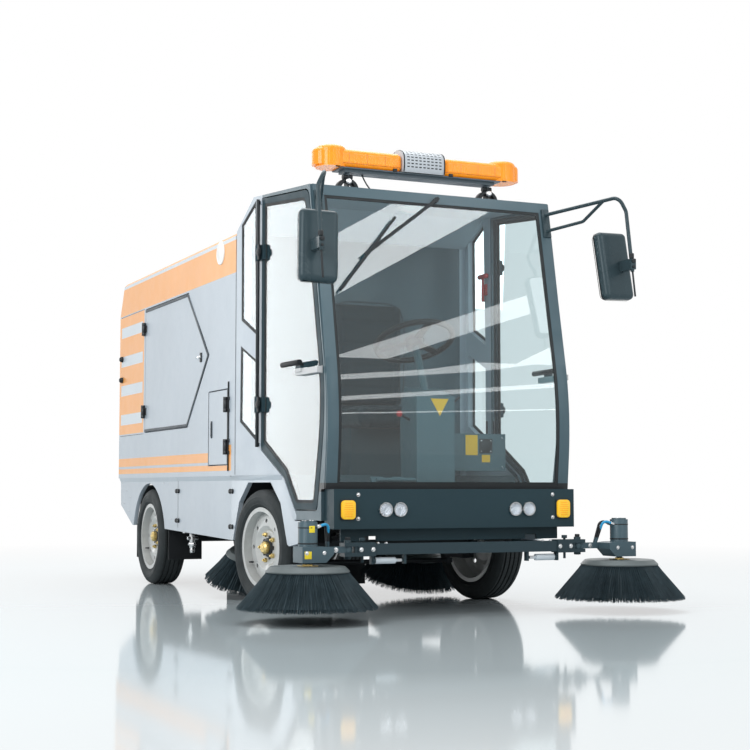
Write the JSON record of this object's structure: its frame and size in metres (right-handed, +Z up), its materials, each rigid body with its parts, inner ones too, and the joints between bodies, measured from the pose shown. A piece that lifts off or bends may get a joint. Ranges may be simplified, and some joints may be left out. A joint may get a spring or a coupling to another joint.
{
  "type": "street sweeper truck",
  "caption": "Compact street sweeper truck with an enclosed glazed cab, a closed body, swinging front disc brushes, tilted middle brushes, a suction nozzle and a tailgate.",
  "frame": {"origin": "on the ground, under the middle of the bounding box", "axes": "-Y is the way the truck drives, +Z is up, +X is the driver's left"},
  "size_m": [2.19, 3.974, 2.2239],
  "materials": {
    "tyre": "matte",
    "rim_beige": "satin",
    "body_silver": "satin",
    "cab_slate": "satin",
    "roof_grey": "satin",
    "chassis_grey": "satin",
    "bare_steel": "brushed",
    "door_slate": "satin",
    "clear_glass": "polished",
    "seat_fabric": "woven",
    "black_plastic": "matte",
    "column_plastic": "matte",
    "amber_lens": "gloss",
    "lamp_lens": "gloss",
    "red_lens": "gloss",
    "bristles": "matte",
    "mirror_shell": "matte",
    "spring_steel": "rough"
  },
  "bodies": {
    "chassis": {"battery_pack": "chassis_grey", "beacon_base": "black_plastic", "beacon_lenses": "amber_lens", "body_floor": "chassis_grey", "body_mounts": "chassis_grey", "body_roof": "body_silver", "body_side_walls": "body_silver", "body_skirts": "body_silver", "brush_brackets": "chassis_grey", "cab_floor": "chassis_grey", "cab_frame": "cab_slate", "cab_roof": "roof_grey", "chassis_frame": "chassis_grey", "control_column": "column_plastic", "front_axle_beam": "chassis_grey", "front_bumper": "cab_slate", "front_fenders": "cab_slate", "headlamps": "lamp_lens", "leaf_springs": "spring_steel", "mirrors": "mirror_shell", "quarter_windows": "clear_glass", "rear_axle": "chassis_grey", "rear_bumper": "cab_slate", "rear_frame": "body_silver", "seat_back": "seat_fabric", "seat_cushion": "seat_fabric", "steering_wheel": "black_plastic", "suction_nozzle": "chassis_grey", "tail_lamps": "red_lens", "turn_signals": "amber_lens", "wheel_liners": "black_plastic", "windshield": "clear_glass", "wiper": "black_plastic"},
    "knuckle_left": {"knuckle_left": "chassis_grey"},
    "knuckle_right": {"knuckle_right": "chassis_grey"},
    "tie_rod": {"tie_rod": "bare_steel"},
    "wheel_front_left": {"rim_front_left": "rim_beige", "tyre_front_left": "tyre"},
    "wheel_front_right": {"rim_front_right": "rim_beige", "tyre_front_right": "tyre"},
    "wheel_rear_left": {"rim_rear_left": "rim_beige", "tyre_rear_left": "tyre"},
    "wheel_rear_right": {"rim_rear_right": "rim_beige", "tyre_rear_right": "tyre"},
    "cab_door_left": {"cab_door_left": "door_slate", "door_glass_left": "clear_glass"},
    "cab_door_right": {"cab_door_right": "door_slate", "door_glass_right": "clear_glass"},
    "side_hatch_left": {"side_hatch_left": "body_silver"},
    "side_hatch_right": {"side_hatch_right": "body_silver"},
    "service_flap_left": {"service_flap_left": "body_silver"},
    "service_flap_right": {"service_flap_right": "body_silver"},
    "tailgate": {"tailgate": "body_silver"},
    "brush_beam": {"brush_beam": "cab_slate"},
    "brush_arm_left": {"brush_arm_left": "cab_slate"},
    "brush_arm_right": {"brush_arm_right": "cab_slate"},
    "front_brush_left": {"front_brush_left": "bristles"},
    "front_brush_right": {"front_brush_right": "bristles"},
    "mid_arm_left": {"mid_brush_arm_left": "chassis_grey"},
    "mid_arm_right": {"mid_brush_arm_right": "chassis_grey"},
    "mid_brush_left": {"mid_brush_left": "bristles"},
    "mid_brush_right": {"mid_brush_right": "bristles"}
  },
  "joints": [
    {"name": "steer_left", "type": "hinge", "parent": "chassis", "child": "knuckle_left", "pos_m": [0.475, -0.689, 0.285], "axis": [0, 0, 1], "range_deg": [-36, 20]},
    {"name": "steer_right", "type": "hinge", "parent": "chassis", "child": "knuckle_right", "pos_m": [-0.475, -0.689, 0.285], "axis": [0, 0, 1], "range_deg": [-36, 20]},
    {"name": "tie_rod_swing", "type": "hinge", "parent": "knuckle_right", "child": "tie_rod", "pos_m": [-0.49309, -0.56027, 0.1977], "axis": [0, 0, 1], "range_deg": [-20, 36]},
    {"name": "wheel_spin_front_left", "type": "hinge", "parent": "knuckle_left", "child": "wheel_front_left", "pos_m": [0.58591, -0.67341, 0.285], "axis": [0.9903, 0.1392, 0], "continuous": true},
    {"name": "wheel_spin_front_right", "type": "hinge", "parent": "knuckle_right", "child": "wheel_front_right", "pos_m": [-0.58591, -0.70459, 0.285], "axis": [0.9903, 0.1392, 0], "continuous": true},
    {"name": "wheel_spin_rear_left", "type": "hinge", "parent": "chassis", "child": "wheel_rear_left", "pos_m": [0.587, 1.255, 0.285], "axis": [1, 0, 0], "continuous": true},
    {"name": "wheel_spin_rear_right", "type": "hinge", "parent": "chassis", "child": "wheel_rear_right", "pos_m": [-0.587, 1.255, 0.285], "axis": [1, 0, 0], "continuous": true},
    {"name": "cab_door_left", "type": "hinge", "parent": "chassis", "child": "cab_door_left", "pos_m": [0.67802, -0.71734, 1.36], "axis": [0, 0, 1], "range_deg": [0, 80]},
    {"name": "side_hatch_left", "type": "hinge", "parent": "chassis", "child": "side_hatch_left", "pos_m": [0.69, 1.329, 1.3], "axis": [0, 0, 1], "range_deg": [0, 100]},
    {"name": "service_flap_left", "type": "hinge", "parent": "chassis", "child": "service_flap_left", "pos_m": [0.69, -0.262, 0.9], "axis": [0, 0, -1], "range_deg": [0, 100]},
    {"name": "cab_door_right", "type": "hinge", "parent": "chassis", "child": "cab_door_right", "pos_m": [-0.67802, -0.71734, 1.36], "axis": [0, 0, -1], "range_deg": [0, 80]},
    {"name": "side_hatch_right", "type": "hinge", "parent": "chassis", "child": "side_hatch_right", "pos_m": [-0.69, 1.329, 1.3], "axis": [0, 0, -1], "range_deg": [0, 100]},
    {"name": "service_flap_right", "type": "hinge", "parent": "chassis", "child": "service_flap_right", "pos_m": [-0.69, -0.262, 0.9], "axis": [0, 0, 1], "range_deg": [0, 100]},
    {"name": "tailgate_lift", "type": "hinge", "parent": "chassis", "child": "tailgate", "pos_m": [0, 1.954, 1.653], "axis": [1, 0, 0], "range_deg": [0, 85]},
    {"name": "brush_lift", "type": "hinge", "parent": "chassis", "child": "brush_beam", "pos_m": [0, -1.329, 0.308], "axis": [1, 0, 0], "range_deg": [-4, 4.5]},
    {"name": "brush_swing_left", "type": "hinge", "parent": "brush_beam", "child": "brush_arm_left", "pos_m": [0.585, -1.639, 0.308], "axis": [0, 0, 1], "range_deg": [-15, 25]},
    {"name": "brush_spin_left", "type": "hinge", "parent": "brush_arm_left", "child": "front_brush_left", "pos_m": [0.789, -1.681, 0.058], "axis": [0, 0, 1], "continuous": true},
    {"name": "mid_lift_left", "type": "slide", "parent": "chassis", "child": "mid_arm_left", "axis": [0, 0, 1], "range_m": [0, 0.05]},
    {"name": "mid_spin_left", "type": "hinge", "parent": "mid_arm_left", "child": "mid_brush_left", "pos_m": [0.45, -0.104, 0.076], "axis": [0, -0.2588, 0.9659], "continuous": true},
    {"name": "brush_swing_right", "type": "hinge", "parent": "brush_beam", "child": "brush_arm_right", "pos_m": [-0.585, -1.639, 0.308], "axis": [0, 0, -1], "range_deg": [-15, 25]},
    {"name": "brush_spin_right", "type": "hinge", "parent": "brush_arm_right", "child": "front_brush_right", "pos_m": [-0.789, -1.681, 0.058], "axis": [0, 0, 1], "continuous": true},
    {"name": "mid_lift_right", "type": "slide", "parent": "chassis", "child": "mid_arm_right", "axis": [0, 0, 1], "range_m": [0, 0.05]},
    {"name": "mid_spin_right", "type": "hinge", "parent": "mid_arm_right", "child": "mid_brush_right", "pos_m": [-0.45, -0.104, 0.076], "axis": [0, -0.2588, 0.9659], "continuous": true}
  ],
  "couplings": [
    {"joint": "steer_right", "follows": "steer_left", "ratio": 1},
    {"joint": "tie_rod_swing", "follows": "steer_left", "ratio": -1}
  ]
}
